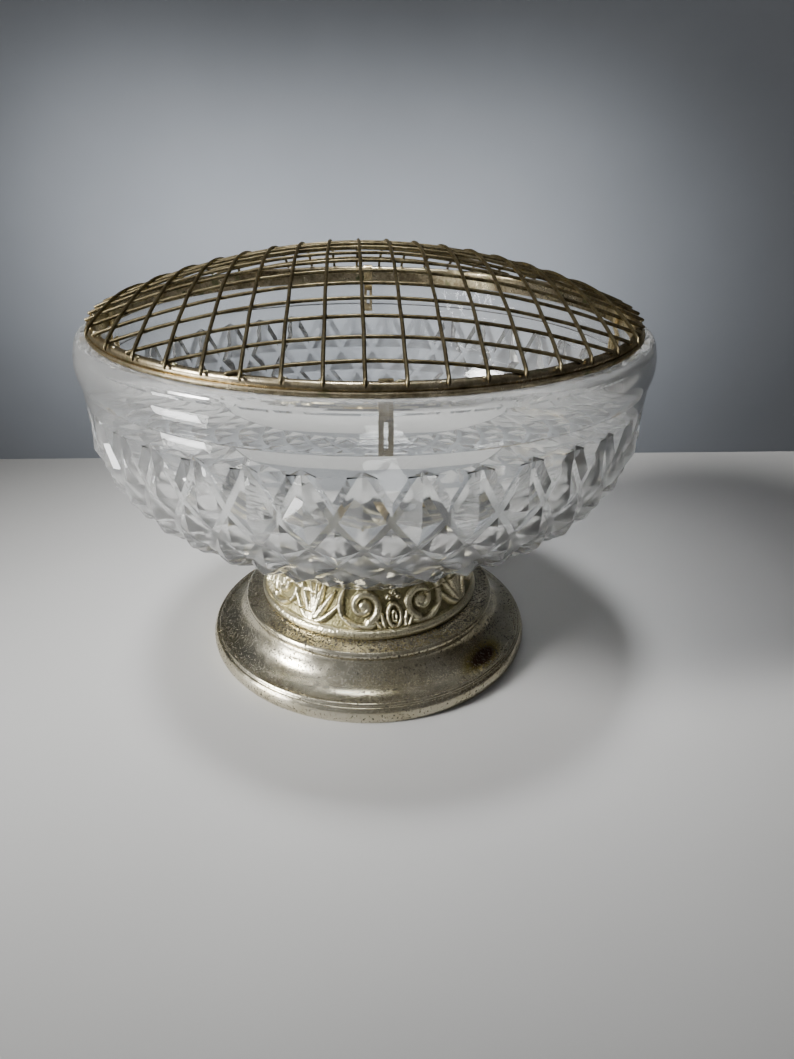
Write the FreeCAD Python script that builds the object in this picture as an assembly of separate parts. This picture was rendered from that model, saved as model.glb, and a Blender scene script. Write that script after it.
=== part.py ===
import FreeCAD, Part
import math
import os

# Footed glass rose bowl with a lift-off domed wire flower frog.
# Millimetres. +Z is up; the origin is the centre of the foot's resting plane.

Vector = FreeCAD.Vector

# ---------------------------------------------------------------- foot, a hollow spun pressing
foot_rim_r = 53.5            # widest radius of the half-round rim
foot_rim_h = 5.2             # height of the rim
foot_rim_bulge = 0.9         # how far the rim swells past its flat underside
foot_rest_w = 2.0            # width of the ring that rests on the table
foot_wall = 1.5              # sheet thickness
foot_bead_w = 1.4            # fine bead just inside the rim
foot_cove_sag = 1.8          # hollow of the cove between rim and step
foot_step_r = 41.9           # widest radius of the step's bead
foot_step_h = 3.0            # height of that bead
foot_top_z = 17.3            # flat shelf that carries the gallery
foot_hole_r = 26.0           # opening in the shelf

# ---------------------------------------------------------------- gallery, the ornamental band
gallery_bead_r = 36.1        # widest radius of the bead at its foot
gallery_bead_h = 3.0
gallery_base_r = 34.3        # cove, lower radius
gallery_top_r = 29.8         # cove, upper radius
gallery_h = 15.7
gallery_wall = 1.5
gallery_cove_sag = 0.8

# ---------------------------------------------------------------- centre fixing
bolt_r = 3.0
bolt_tail = 3.0              # thread left showing under the nut
bolt_head_r = 6.0
bolt_head_h = 3.2
bolt_clearance = 0.3         # radial, through plates and washers
thread_clearance = 0.02      # radial, inside the nut
glass_hole_clearance = 1.0   # radial, through the glass
under_plate_r = 33.0
under_plate_t = 1.5
washer_r = 7.0
washer_t = 1.2
nut_flats = 10.0
nut_h = 5.0
cap_washer_r = 10.0
cap_washer_t = 1.2
seal_r = 9.0
seal_t = 1.5
gasket_w = 8.5
gasket_t = 1.0
gasket_inset = 1.3           # gasket's edge inside the gallery's edge

# ---------------------------------------------------------------- glass bowl
mouth_r = 76.0               # inside radius at the rim
rim_wall = 4.8               # glass thickness at the rim
rim_round = 0.9              # rounding of the lip's inner edge
rim_fall = 2.4               # rounding of its outer edge
bowl_h = 72.5                # seat to lip
bowl_swell = 0.7             # how far the plain band swells outwards
plain_band_h = 10.9          # smooth band under the lip
short_band_h = 5.6           # second band, above the cut pattern
band_step = 0.7              # ledge between the bands
side_drop = 34.9             # height of the cut side wall
turn_r = 64.5                # radius where the side turns under
side_sag = 5.5               # roundness of the cut side wall
base_r = 34.5                # radius of the solid base
base_edge_h = 1.2
side_wall = 5.0              # glass thickness through the cut side
floor_t = 6.0                # glass thickness at the bottom
floor_r = 30.0               # radius of the flat floor inside

# ---------------------------------------------------------------- frog: ring, legs and wire dome
bead_r = 1.2                 # half the thickness of the ring's round bead
bead_sink = 0.5              # bead let into the flange under it
flange_t = 1.1               # flat flange that rests on the glass
flange_outset = 1.8          # flange's edge outside the bead's centre
ring_rest_gap = 0.2          # flange above the glass lip
skirt_t = 0.9
skirt_drop = 4.6             # skirt below the bead's centre
skirt_gap = 0.6              # skirt inside the glass mouth
skirt_outset = 0.3           # bead's centre outside the skirt's outer face
wire_d = 0.914
mesh_pitch = 8.467
mesh_offset = -2.5           # the wire nearest the centre misses it by this
mesh_margin = 2.0            # outermost wire stays this far inside the ring
layer_gap = 0.03             # between crossing wires, and between wires and bead
dome_slope = 22.0            # degrees, at the ring
dome_fullness = 1.9          # 2 is a plain parabola, more is flatter on top
wrap_ends = (45.0, 10.0)     # degrees above level at which each layer's ends stop on the bead
dome_samples = 12            # half a wire's points over the dome
wrap_samples = 4             # points of each wrapped end
leg_t = 0.5
leg_w = 3.0
leg_gap = 0.04               # leg off the bead that it hooks over
leg_hook_end = 70.0          # degrees past which the hook stops, measured from level outside
leg_drop = 15.0              # lowest point of a leg, below the bead's centre
leg_joggle_z = 5.4           # start of the outward joggle, below the bead's centre
leg_joggle_h = 1.8
leg_glass_gap = 0.6
leg_fold_r = 0.8
leg_fold_back = 6.0          # length of the leaf folded back up
slot_w = 1.0
slot_h = 5.0
slot_rise = 2.5              # slot above the fold's lowest point
rivet_r = 0.6
rivet_clearance = 0.02
rivet_head_r = 1.1
rivet_head_t = 0.35
rivet_drop = 3.0             # rivet below the bead's centre

# ---------------------------------------------------------------- derived heights and radii
under_plate_z = foot_top_z - foot_wall - under_plate_t
gallery_top_z = foot_top_z + gallery_h
seat_z = gallery_top_z + gasket_t
floor_z = seat_z + floor_t
lip_z = seat_z + bowl_h
plain_band_z = lip_z - plain_band_h
cut_top_z = plain_band_z - short_band_h
turn_z = cut_top_z - side_drop
rim_r = mouth_r + rim_wall
cap_z = floor_z + seal_t + cap_washer_t
flange_z = lip_z + ring_rest_gap
ring_z = flange_z + flange_t + bead_r - bead_sink
skirt_r = mouth_r - skirt_gap
ring_r = skirt_r + skirt_outset
nut_z = under_plate_z - washer_t - nut_h
gallery_gasket_r = gallery_top_r - gasket_inset


# ---------------------------------------------------------------- small geometry helpers
def at(radius, height):
    """Point in the half plane that is turned about Z."""
    return Vector(radius, 0, height)


def bulge(start, end, sag):
    """Middle of the arc from start to end that bows sag to the left of travel."""
    chord = end - start
    left = Vector(-chord.z, 0, chord.x)
    left.normalize()
    return (start + end) * 0.5 + left * sag


def outline(start, *steps):
    """Face bounded by lines (one point) and arcs (a pair: through, end)."""
    edges = []
    here = start
    for step in steps:
        if isinstance(step, tuple):
            through, end = step
            edges.append(Part.Arc(here, through, end).toShape())
        else:
            end = step
            edges.append(Part.makeLine(here, end))
        here = end
    if not here.isEqual(start, 1e-6):
        edges.append(Part.makeLine(here, start))
    return Part.Face(Part.Wire(edges))


def turned(face):
    """Solid of revolution of a face about Z."""
    return face.revolve(Vector(0, 0, 0), Vector(0, 0, 1), 360)


def disc(radius, height, low, bore=0.0):
    """Flat disc or washer."""
    shape = Part.makeCylinder(radius, height, Vector(0, 0, low))
    if bore:
        shape = shape.cut(Part.makeCylinder(bore, height, Vector(0, 0, low)))
    return shape


def about_z(shape, degrees):
    """Turned copy."""
    copy = shape.copy()
    copy.rotate(Vector(0, 0, 0), Vector(0, 0, 1), degrees)
    return copy


def save(node, shape):
    shape.exportStep(os.path.join("parts", node + ".step"))


# ---------------------------------------------------------------- foot
def foot_base():
    """Hollow foot: half-round rim, fine bead, cove, beaded step and flat shelf."""
    rim_flat_r = foot_rim_r - foot_rim_bulge
    step_flat_r = foot_step_r - foot_step_h / 3
    step_low_z = foot_top_z - foot_wall / 3 - foot_step_h
    bead_out = at(rim_flat_r - foot_rim_bulge, foot_rim_h)
    bead_in = at(bead_out.x - foot_bead_w, foot_rim_h + foot_bead_w / 2)
    step_low = at(step_flat_r, step_low_z)
    step_high = at(step_flat_r, step_low_z + foot_step_h)
    under_high = at(step_flat_r - foot_wall, step_low_z)
    under_low = at(bead_in.x - foot_wall, bead_in.z - foot_wall)
    rest_r = rim_flat_r - foot_rest_w
    face = outline(
        at(rest_r, 0),
        at(rim_flat_r, 0),
        (at(foot_rim_r, foot_rim_h / 2), at(rim_flat_r, foot_rim_h)),
        bead_out,
        (bulge(bead_out, bead_in, -foot_bead_w / 3), bead_in),
        (bulge(bead_in, step_low, foot_cove_sag), step_low),
        (bulge(step_low, step_high, -foot_step_h / 3), step_high),
        at(gallery_bead_r, foot_top_z),
        at(foot_hole_r, foot_top_z),
        at(foot_hole_r, foot_top_z - foot_wall),
        at(under_high.x, foot_top_z - foot_wall),
        under_high,
        (bulge(under_high, under_low, -foot_cove_sag), under_low),
        at(rest_r, foot_rim_h / 2),
    )
    return turned(face)


def foot_gallery():
    """Ornamental band: bead below, coved wall, flat top that carries the glass."""
    bead_flat_r = gallery_bead_r - gallery_bead_h / 3
    bead_top_z = foot_top_z + gallery_bead_h
    wall_low = at(gallery_base_r, bead_top_z)
    wall_high = at(gallery_top_r, gallery_top_z)
    inner_high = at(gallery_top_r - gallery_wall, gallery_top_z - gallery_wall)
    inner_low = at(gallery_base_r - gallery_wall, foot_top_z)
    bore = bolt_r + bolt_clearance
    face = outline(
        inner_low,
        at(bead_flat_r, foot_top_z),
        (at(gallery_bead_r, foot_top_z + gallery_bead_h / 2), at(bead_flat_r, bead_top_z)),
        wall_low,
        (bulge(wall_low, wall_high, gallery_cove_sag), wall_high),
        at(bore, gallery_top_z),
        at(bore, gallery_top_z - gallery_wall),
        inner_high,
        (bulge(inner_high, inner_low, -gallery_cove_sag), inner_low),
    )
    return turned(face)


# ---------------------------------------------------------------- centre fixing
def centre_bolt():
    """Domed head inside the bowl, shank down through the glass and the foot."""
    sphere_r = (bolt_head_r ** 2 + bolt_head_h ** 2) / (2 * bolt_head_h)
    sphere_z = cap_z + bolt_head_h - sphere_r
    head = Part.makeSphere(sphere_r, Vector(0, 0, sphere_z)).common(disc(sphere_r, bolt_head_h, cap_z))
    tail_z = nut_z - bolt_tail
    return head.fuse(disc(bolt_r, cap_z - tail_z, tail_z)).removeSplitter()


def clamp_nut():
    """Hexagon nut under the foot."""
    corner_r = nut_flats / math.sqrt(3)
    corners = [Vector(corner_r * math.cos(k * math.pi / 3), corner_r * math.sin(k * math.pi / 3), nut_z)
               for k in range(7)]
    block = Part.Face(Part.makePolygon(corners)).extrude(Vector(0, 0, nut_h))
    return block.cut(Part.makeCylinder(bolt_r + thread_clearance, nut_h, Vector(0, 0, nut_z)))


# ---------------------------------------------------------------- glass bowl
def glass_bowl():
    """Thick pressed-glass bowl: plain band, short band, cut side, solid base with a bolt hole."""
    bore = bolt_r + glass_hole_clearance
    lip_in = at(mouth_r, lip_z - rim_round)
    lip_out = at(rim_r, lip_z - rim_fall)
    corner = rim_round * (1 - math.sqrt(0.5))
    fall = rim_fall * (1 - math.sqrt(0.5))
    plain_low = at(rim_r, plain_band_z)
    short_high = at(rim_r - band_step, plain_band_z)
    short_low = at(rim_r - band_step, cut_top_z)
    turn = at(turn_r, turn_z)
    base_edge = at(base_r, seat_z + base_edge_h)
    inner_top = at(mouth_r, cut_top_z)
    inner_turn = at(turn_r - side_wall * 0.5, turn_z + side_wall)
    inner_floor = at(floor_r, floor_z)
    face = outline(
        at(bore, seat_z),
        at(base_r - base_edge_h, seat_z),
        base_edge,
        turn,
        (bulge(turn, short_low, -side_sag), short_low),
        short_high,
        plain_low,
        (bulge(plain_low, lip_out, -bowl_swell), lip_out),
        (at(rim_r - fall, lip_z - fall), at(rim_r - rim_fall, lip_z)),
        at(mouth_r + rim_round, lip_z),
        (at(mouth_r + corner, lip_z - corner), lip_in),
        inner_top,
        (bulge(inner_top, inner_turn, side_sag), inner_turn),
        inner_floor,
        at(bore, floor_z),
    )
    return turned(face)


# ---------------------------------------------------------------- frog ring and legs
def frog_ring():
    """Round bead on a flat flange, with a skirt inside the mouth drilled for the leg rivets."""
    bead = Part.makeTorus(ring_r, bead_r, Vector(0, 0, ring_z))
    flange = disc(ring_r + flange_outset, flange_t, flange_z, skirt_r - skirt_t)
    skirt = disc(skirt_r, skirt_drop, ring_z - skirt_drop, skirt_r - skirt_t)
    ring = bead.fuse([flange, skirt])
    drill = Part.makeCylinder(rivet_r + rivet_clearance, 2 * skirt_t,
                              Vector(skirt_r - 1.5 * skirt_t, 0, ring_z - rivet_drop), Vector(1, 0, 0))
    for angle in leg_angles().values():
        ring = ring.cut(about_z(drill, angle))
    return ring


def leg_angles():
    """Direction of each leg: between two wires, next to the centre of its side."""
    lean = math.degrees(math.asin((mesh_offset + mesh_pitch / 2) / ring_r))
    return {"front": -90 + lean, "right": lean, "back": 90 - lean, "left": 180 - lean}


def ribbon(points, thickness, width):
    """Bent strip: a band of one thickness along points in the XZ plane, centred on Y."""
    outer, inner = [], []
    for k, point in enumerate(points):
        before = points[max(k - 1, 0)]
        after = points[min(k + 1, len(points) - 1)]
        one = (point - before) if k else (after - point)
        two = (after - point) if k < len(points) - 1 else one
        one.normalize()
        two.normalize()
        along = one + two
        along.normalize()
        mitre = Vector(-along.z, 0, along.x) * (thickness / 2 / max(one.dot(along), 0.5))
        outer.append(point + mitre)
        inner.append(point - mitre)
    loop = outer + inner[::-1]
    face = Part.Face(Part.makePolygon(loop + loop[:1]))
    face.translate(Vector(0, -width / 2, 0))
    return face.extrude(Vector(0, width, 0))


def arc_points(centre, radius, start, end, count):
    """Points on an arc in the XZ plane, angles in degrees from +X."""
    angles = [math.radians(start + (end - start) * k / count) for k in range(count + 1)]
    return [centre + Vector(radius * math.cos(a), 0, radius * math.sin(a)) for a in angles]


def leg_line():
    """Centre line of a leg: hook over the bead, drop, joggle outwards, fold back up inside."""
    hook_r = bead_r + leg_gap + leg_t / 2
    outer_r = mouth_r - leg_glass_gap - leg_t / 2
    fold_z = ring_z - leg_drop + leg_t / 2 + leg_fold_r
    points = arc_points(at(ring_r, ring_z), hook_r, leg_hook_end, 180, 8)
    points.append(at(ring_r - hook_r, ring_z - leg_joggle_z))
    points.append(at(outer_r, ring_z - leg_joggle_z - leg_joggle_h))
    points += arc_points(at(outer_r - leg_fold_r, fold_z), leg_fold_r, 0, -180, 8)
    points.append(at(outer_r - 2 * leg_fold_r, fold_z + leg_fold_back))
    return points


def frog_leg(angle):
    """Spring leg of folded strip with a slot through both leaves and a hole for its rivet."""
    leg = ribbon(leg_line(), leg_t, leg_w)
    slot_z = ring_z - leg_drop + slot_rise
    slot_x = mouth_r - 6 * leg_fold_r
    leg = leg.cut(Part.makeBox(6 * leg_fold_r, slot_w, slot_h, Vector(slot_x, -slot_w / 2, slot_z)))
    drill = Part.makeCylinder(rivet_r + rivet_clearance, 3 * leg_t,
                              Vector(skirt_r - skirt_t - 3 * leg_t, 0, ring_z - rivet_drop), Vector(1, 0, 0))
    return about_z(leg.cut(drill), angle)


def leg_rivets():
    """One rivet through each leg and the skirt, headed on both sides."""
    leg_face = ring_r - bead_r - leg_gap - leg_t
    ends = (leg_face - rivet_head_t, skirt_r + rivet_head_t / 2)
    height = ring_z - rivet_drop
    shank = Part.makeCylinder(rivet_r, ends[1] - ends[0], Vector(ends[0], 0, height), Vector(1, 0, 0))
    head = Part.makeCylinder(rivet_head_r, rivet_head_t, Vector(ends[0], 0, height), Vector(1, 0, 0))
    clench = Part.makeCylinder(rivet_head_r, rivet_head_t / 2 - rivet_clearance,
                               Vector(skirt_r + rivet_clearance, 0, height), Vector(1, 0, 0))
    rivet = shank.fuse([head, clench])
    return Part.makeCompound([about_z(rivet, angle) for angle in leg_angles().values()])


# ---------------------------------------------------------------- wire dome
def wire_profile(reach, offset, wrap_end):
    """Half a wire in its own upright plane: (distance along, height) from mid dome to its end.

    reach is the distance of the wire's centre from the bead's centre where it wraps over,
    offset is how far the wire's plane misses the axis, wrap_end where it stops on the bead.
    """
    slope = math.radians(dome_slope)
    edge_r = ring_r + reach * math.sin(slope)
    edge_z = ring_z + reach * math.cos(slope)
    rise = math.tan(slope) * edge_r / dome_fullness
    half = math.sqrt(edge_r ** 2 - offset ** 2)
    points = []
    for k in range(dome_samples + 1):
        along = half * k / dome_samples
        share = math.hypot(along, offset) / edge_r
        points.append((along, edge_z + rise * (1 - share ** dome_fullness)))
    first = 90 - dome_slope
    for k in range(1, wrap_samples + 1):
        angle = math.radians(first + (wrap_end - first) * k / wrap_samples)
        radius = ring_r + reach * math.cos(angle)
        points.append((math.sqrt(radius ** 2 - offset ** 2), ring_z + reach * math.sin(angle)))
    return points


def dome_wire(layer, offset):
    """One wire along Y at x = offset; layer 0 lies on the bead and layer 1 on top of layer 0."""
    reach = bead_r + layer_gap + wire_d / 2 + layer * (wire_d + layer_gap)
    half = wire_profile(reach, offset, wrap_ends[layer])
    line = [Vector(offset, -along, height) for along, height in half[:0:-1]]
    line += [Vector(offset, along, height) for along, height in half]
    curve = Part.BSplineCurve()
    curve.interpolate(line)
    path = Part.Wire(curve.toShape())
    start = curve.tangent(curve.FirstParameter)[0]
    section = Part.Wire(Part.makeCircle(wire_d / 2, line[0], start))
    return path.makePipeShell([section], True, False)


def wire_offsets():
    """Places of the wires of one direction, across the ring."""
    limit = ring_r - bead_r - mesh_margin
    reach = int(2 * limit / mesh_pitch)
    places = [mesh_offset + k * mesh_pitch for k in range(-reach, reach + 1)]
    return [place for place in places if abs(place) <= limit]


def save_wires():
    """Crosswise wires lie on the bead, and the lengthwise ones run front to back over them."""
    for number, place in enumerate(wire_offsets(), 1):
        save("wire_lengthwise_%02d" % number, dome_wire(1, place))
        save("wire_crosswise_%02d" % number, about_z(dome_wire(0, place), 90))


# ---------------------------------------------------------------- whole object
def main():
    os.makedirs("parts", exist_ok=True)
    save("foot_base", foot_base())
    save("foot_gallery", foot_gallery())
    save("under_plate", disc(under_plate_r, under_plate_t, under_plate_z, bolt_r + bolt_clearance))
    save("plain_washer", disc(washer_r, washer_t, under_plate_z - washer_t, bolt_r + bolt_clearance))
    save("clamp_nut", clamp_nut())
    save("seat_gasket", disc(gallery_gasket_r, gasket_t, gallery_top_z, gallery_gasket_r - gasket_w))
    save("glass_bowl", glass_bowl())
    save("inner_seal", disc(seal_r, seal_t, floor_z, bolt_r + bolt_clearance))
    save("cap_washer", disc(cap_washer_r, cap_washer_t, floor_z + seal_t, bolt_r + bolt_clearance))
    save("centre_bolt", centre_bolt())
    save("frog_ring", frog_ring())
    for side, angle in leg_angles().items():
        save("frog_leg_" + side, frog_leg(angle))
    save("leg_rivets", leg_rivets())
    save_wires()


main()
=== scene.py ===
"""Footed glass rose bowl with a lift-off wire flower frog: its looks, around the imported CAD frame."""

from __future__ import annotations

import logging
import math
from dataclasses import dataclass, field
from enum import Enum
from typing import Iterable, Sequence

import bmesh
import bpy
import numpy as np
from mathutils import Matrix, Vector


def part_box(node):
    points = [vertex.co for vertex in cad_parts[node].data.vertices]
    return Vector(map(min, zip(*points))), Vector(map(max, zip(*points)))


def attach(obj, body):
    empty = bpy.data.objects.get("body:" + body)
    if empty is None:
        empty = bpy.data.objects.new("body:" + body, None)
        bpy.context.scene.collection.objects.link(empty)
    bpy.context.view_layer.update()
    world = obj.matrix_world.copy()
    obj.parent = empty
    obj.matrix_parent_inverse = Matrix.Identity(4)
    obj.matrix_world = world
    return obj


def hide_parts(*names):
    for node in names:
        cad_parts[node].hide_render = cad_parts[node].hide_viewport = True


log = logging.getLogger("rose_bowl")
MM = 0.001
Colour = tuple[float, float, float]
Socket = bpy.types.NodeSocket
BMesh = bmesh.types.BMesh
BOWL_BODY = "bowl_on_foot"
FROG_BODY = "flower_frog"


# ------------------------------------------------------------------ mesh helpers
class Shading(Enum):
    """How the faces of a finished piece catch the light."""

    SMOOTH = "smooth"
    FLAT = "flat"
    BY_ANGLE = "by_angle"


def polar(radius: float, height: float) -> Vector:
    """Point of a turned outline, in millimetres, given in metres."""
    return Vector((radius * MM, 0.0, height * MM))


def arc_between(start: Vector, end: Vector, sag: float, count: int) -> list[Vector]:
    """Points of a round stretch of an outline.

    Args:
        start: First point, which is left out of the result.
        end: Last point, which is in the result.
        sag: Height of the arc over its chord in millimetres, positive to the left of travel.
        count: Number of points returned.

    Returns:
        The points after start, up to and with end.
    """
    chord = end - start
    middle = (start + end) / 2
    left = Vector((-chord.z, 0.0, chord.x)).normalized()
    bow = sag * MM
    radius = (chord.length_squared / 4 + bow * bow) / (2 * bow)
    centre = middle + left * (bow - radius)
    first = start - centre
    turn = 2 * math.asin(max(-1.0, min(1.0, chord.length / (2 * radius))))
    points = []
    for k in range(1, count + 1):
        angle = turn * k / count
        points.append(centre + Matrix.Rotation(angle, 3, "Y") @ first)
    return points


def turned(outline: Sequence[Vector], steps: int) -> BMesh:
    """Spins a closed outline once about Z.

    Args:
        outline: Points in the XZ plane.
        steps: Number of steps of the full turn.

    Returns:
        The turned mesh, with its faces outwards.
    """
    bm = bmesh.new()
    verts = [bm.verts.new(point) for point in outline]
    edges = [bm.edges.new(pair) for pair in zip(verts, verts[1:] + verts[:1])]
    bmesh.ops.spin(bm, geom=verts + edges, cent=(0, 0, 0), axis=(0, 0, 1), angle=math.tau,
                   steps=steps, use_merge=True, use_duplicate=False)
    bmesh.ops.remove_doubles(bm, verts=bm.verts, dist=1e-6)
    bmesh.ops.recalc_face_normals(bm, faces=bm.faces)
    return bm


def finished(name: str, bm: BMesh, material: bpy.types.Material, shading: Shading,
             angle: float = 35.0) -> bpy.types.Object:
    """Turns a bmesh into a dressed object at the origin.

    Args:
        name: Name of the piece.
        bm: The shape, freed here.
        material: Its finish.
        shading: How its faces are shaded.
        angle: Sharpest smooth crease in degrees, for Shading.BY_ANGLE.

    Returns:
        The linked object.
    """
    mesh = bpy.data.meshes.new(name)
    if shading is not Shading.FLAT:
        for face in bm.faces:
            face.smooth = True
    if shading is Shading.BY_ANGLE:
        limit = math.radians(angle)
        for edge in bm.edges:
            if edge.is_manifold and edge.calc_face_angle(0.0) > limit:
                edge.smooth = False
    bm.to_mesh(mesh)
    bm.free()
    piece = bpy.data.objects.new(name, mesh)
    bpy.context.scene.collection.objects.link(piece)
    mesh.materials.append(material)
    return piece


def swept(name: str, line: Sequence[Vector], radii: Sequence[float], thickness: float,
          sides: int = 4) -> bpy.types.Mesh:
    """Round wire along a line, as a mesh.

    Args:
        name: Name of the temporary curve.
        line: Points of its centre.
        radii: Share of the full thickness at each point.
        thickness: Full radius in metres.
        sides: Bevel resolution of the round section.

    Returns:
        The mesh of the wire, with closed ends.
    """
    curve = bpy.data.curves.new(name + "_line", "CURVE")
    curve.dimensions = "3D"
    curve.bevel_depth = thickness
    curve.bevel_resolution = sides
    curve.use_fill_caps = True
    spline = curve.splines.new("POLY")
    spline.points.add(len(line) - 1)
    for spot, point, share in zip(spline.points, line, radii):
        spot.co = (*point, 1.0)
        spot.radius = share
    holder = bpy.data.objects.new(name + "_line", curve)
    bpy.context.scene.collection.objects.link(holder)
    bpy.context.view_layer.update()
    graph = bpy.context.evaluated_depsgraph_get()
    mesh = bpy.data.meshes.new_from_object(holder.evaluated_get(graph))
    bpy.data.objects.remove(holder)
    bpy.data.curves.remove(curve)
    return mesh


# ------------------------------------------------------------------ materials
class Surface:
    """Node tree of one material, with short ways to add the nodes it needs."""

    def __init__(self, name: str) -> None:
        """Starts the material from a Principled shader.

        Args:
            name: Name of the material.
        """
        self.material = bpy.data.materials.new(name)
        self.material.use_nodes = True
        self.nodes = self.material.node_tree.nodes
        self.links = self.material.node_tree.links
        self.shader = self.nodes["Principled BSDF"]
        self.place = self.nodes.new("ShaderNodeTexCoord").outputs["Object"]

    def fixed(self, **values: float | Sequence[float]) -> None:
        """Sets uniform values on the shader, named with underscores for spaces."""
        for key, value in values.items():
            self.shader.inputs[key.replace("_", " ")].default_value = value

    def feed(self, socket: str, source: Socket) -> None:
        """Links a varying value into the shader."""
        self.links.new(source, self.shader.inputs[socket])

    def stretched(self, scale: Sequence[float]) -> Socket:
        """Object coordinates stretched by a Mapping node.

        Args:
            scale: Stretch along X, Y and Z.

        Returns:
            The stretched coordinates.
        """
        node = self.nodes.new("ShaderNodeMapping")
        node.inputs["Scale"].default_value = scale
        self.links.new(self.place, node.inputs["Vector"])
        return node.outputs["Vector"]

    def noise(self, scale: float, detail: float = 3.0, roughness: float = 0.55,
              where: Socket | None = None) -> Socket:
        """Cloudy noise.

        Args:
            scale: Features per metre.
            detail: Number of octaves.
            roughness: Weight of the fine octaves.
            where: Coordinates, or None for plain Object coordinates.

        Returns:
            The noise value.
        """
        node = self.nodes.new("ShaderNodeTexNoise")
        node.inputs["Scale"].default_value = scale
        node.inputs["Detail"].default_value = detail
        node.inputs["Roughness"].default_value = roughness
        self.links.new(where or self.place, node.inputs["Vector"])
        return node.outputs["Fac"]

    def cells(self, scale: float, randomness: float = 1.0) -> Socket:
        """Distance to the nearest of scattered points.

        Args:
            scale: Points per metre.
            randomness: How far the points stray from a grid.

        Returns:
            The distance.
        """
        node = self.nodes.new("ShaderNodeTexVoronoi")
        node.inputs["Scale"].default_value = scale
        node.inputs["Randomness"].default_value = randomness
        self.links.new(self.place, node.inputs["Vector"])
        return node.outputs["Distance"]

    def attribute(self, name: str) -> Socket:
        """Value that the mesh carries.

        Args:
            name: Name of the attribute.

        Returns:
            Its value.
        """
        node = self.nodes.new("ShaderNodeAttribute")
        node.attribute_name = name
        return node.outputs["Fac"]

    def span(self, value: Socket, low: float, high: float, to_low: float = 0.0,
             to_high: float = 1.0) -> Socket:
        """Value stretched from one range onto another, and held inside it.

        Args:
            value: What is stretched.
            low: Start of its range.
            high: End of its range.
            to_low: What the start becomes.
            to_high: What the end becomes.

        Returns:
            The stretched value.
        """
        node = self.nodes.new("ShaderNodeMapRange")
        for key, number in (("From Min", low), ("From Max", high), ("To Min", to_low), ("To Max", to_high)):
            node.inputs[key].default_value = number
        self.links.new(value, node.inputs["Value"])
        return node.outputs["Result"]

    def reckon(self, operation: str, first: Socket, second: Socket | float) -> Socket:
        """One arithmetic step.

        Args:
            operation: Name of the Math node's operation.
            first: First value.
            second: Second value, fixed or varying.

        Returns:
            The result.
        """
        node = self.nodes.new("ShaderNodeMath")
        node.operation = operation
        self.links.new(first, node.inputs[0])
        if isinstance(second, (int, float)):
            node.inputs[1].default_value = second
        else:
            self.links.new(second, node.inputs[1])
        return node.outputs[0]

    def times(self, first: Socket, second: Socket | float) -> Socket:
        """Product of two values."""
        return self.reckon("MULTIPLY", first, second)

    def plus(self, first: Socket, second: Socket | float) -> Socket:
        """Sum of two values."""
        return self.reckon("ADD", first, second)

    def tones(self, value: Socket, stops: Iterable[tuple[float, Colour]]) -> Socket:
        """Colours along a value.

        Args:
            value: What picks the colour.
            stops: Pairs of place and colour, in rising order.

        Returns:
            The colour.
        """
        node = self.nodes.new("ShaderNodeValToRGB")
        ramp = node.color_ramp
        for k, (position, colour) in enumerate(stops):
            stop = ramp.elements[k] if k < 2 else ramp.elements.new(position)
            stop.position = position
            stop.color = (*colour, 1.0)
        self.links.new(value, node.inputs["Fac"])
        return node.outputs["Color"]

    def blend(self, share: Socket, first: Socket | Colour,
              second: Socket | Colour) -> Socket:
        """Mixes two colours.

        Args:
            share: Share of the second colour.
            first: Colour at 0.
            second: Colour at 1.

        Returns:
            The mixed colour.
        """
        node = self.nodes.new("ShaderNodeMix")
        node.data_type = "RGBA"
        self.links.new(share, node.inputs[0])
        for socket, colour in ((node.inputs[6], first), (node.inputs[7], second)):
            if isinstance(colour, tuple):
                socket.default_value = (*colour, 1.0)
            else:
                self.links.new(colour, socket)
        return node.outputs[2]

    def bump(self, height: Socket, distance: float, strength: float = 1.0) -> None:
        """Roughens the surface by a height in metres.

        Args:
            height: Height share.
            distance: Height in metres that a share of 1 stands for.
            strength: Strength of the effect.
        """
        node = self.nodes.new("ShaderNodeBump")
        node.inputs["Distance"].default_value = distance
        node.inputs["Strength"].default_value = strength
        self.links.new(height, node.inputs["Height"])
        self.links.new(node.outputs["Normal"], self.shader.inputs["Normal"])


@dataclass(frozen=True)
class PressedGlass:
    """Old pressed glass, a little milky, with the soft skin and faint waves that a mould leaves."""

    tint: Colour = (0.993, 0.997, 0.988)
    clear: float = 0.93
    waves_per_metre: float = 30.0
    wave_height: float = 0.00021

    def build(self) -> bpy.types.Material:
        """Makes the material.

        Returns:
            The glass.
        """
        surface = Surface("pressed_glass")
        surface.fixed(Base_Color=(*self.tint, 1.0), Transmission_Weight=self.clear, IOR=1.5)
        skin = surface.span(surface.noise(160.0, 3.0), 0.4, 0.75, 0.01, 0.05)
        surface.feed("Roughness", surface.plus(skin, surface.times(surface.attribute("cut"), 0.05)))
        surface.bump(surface.noise(self.waves_per_metre, 1.0, 0.4), self.wave_height)
        return surface.material


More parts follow.
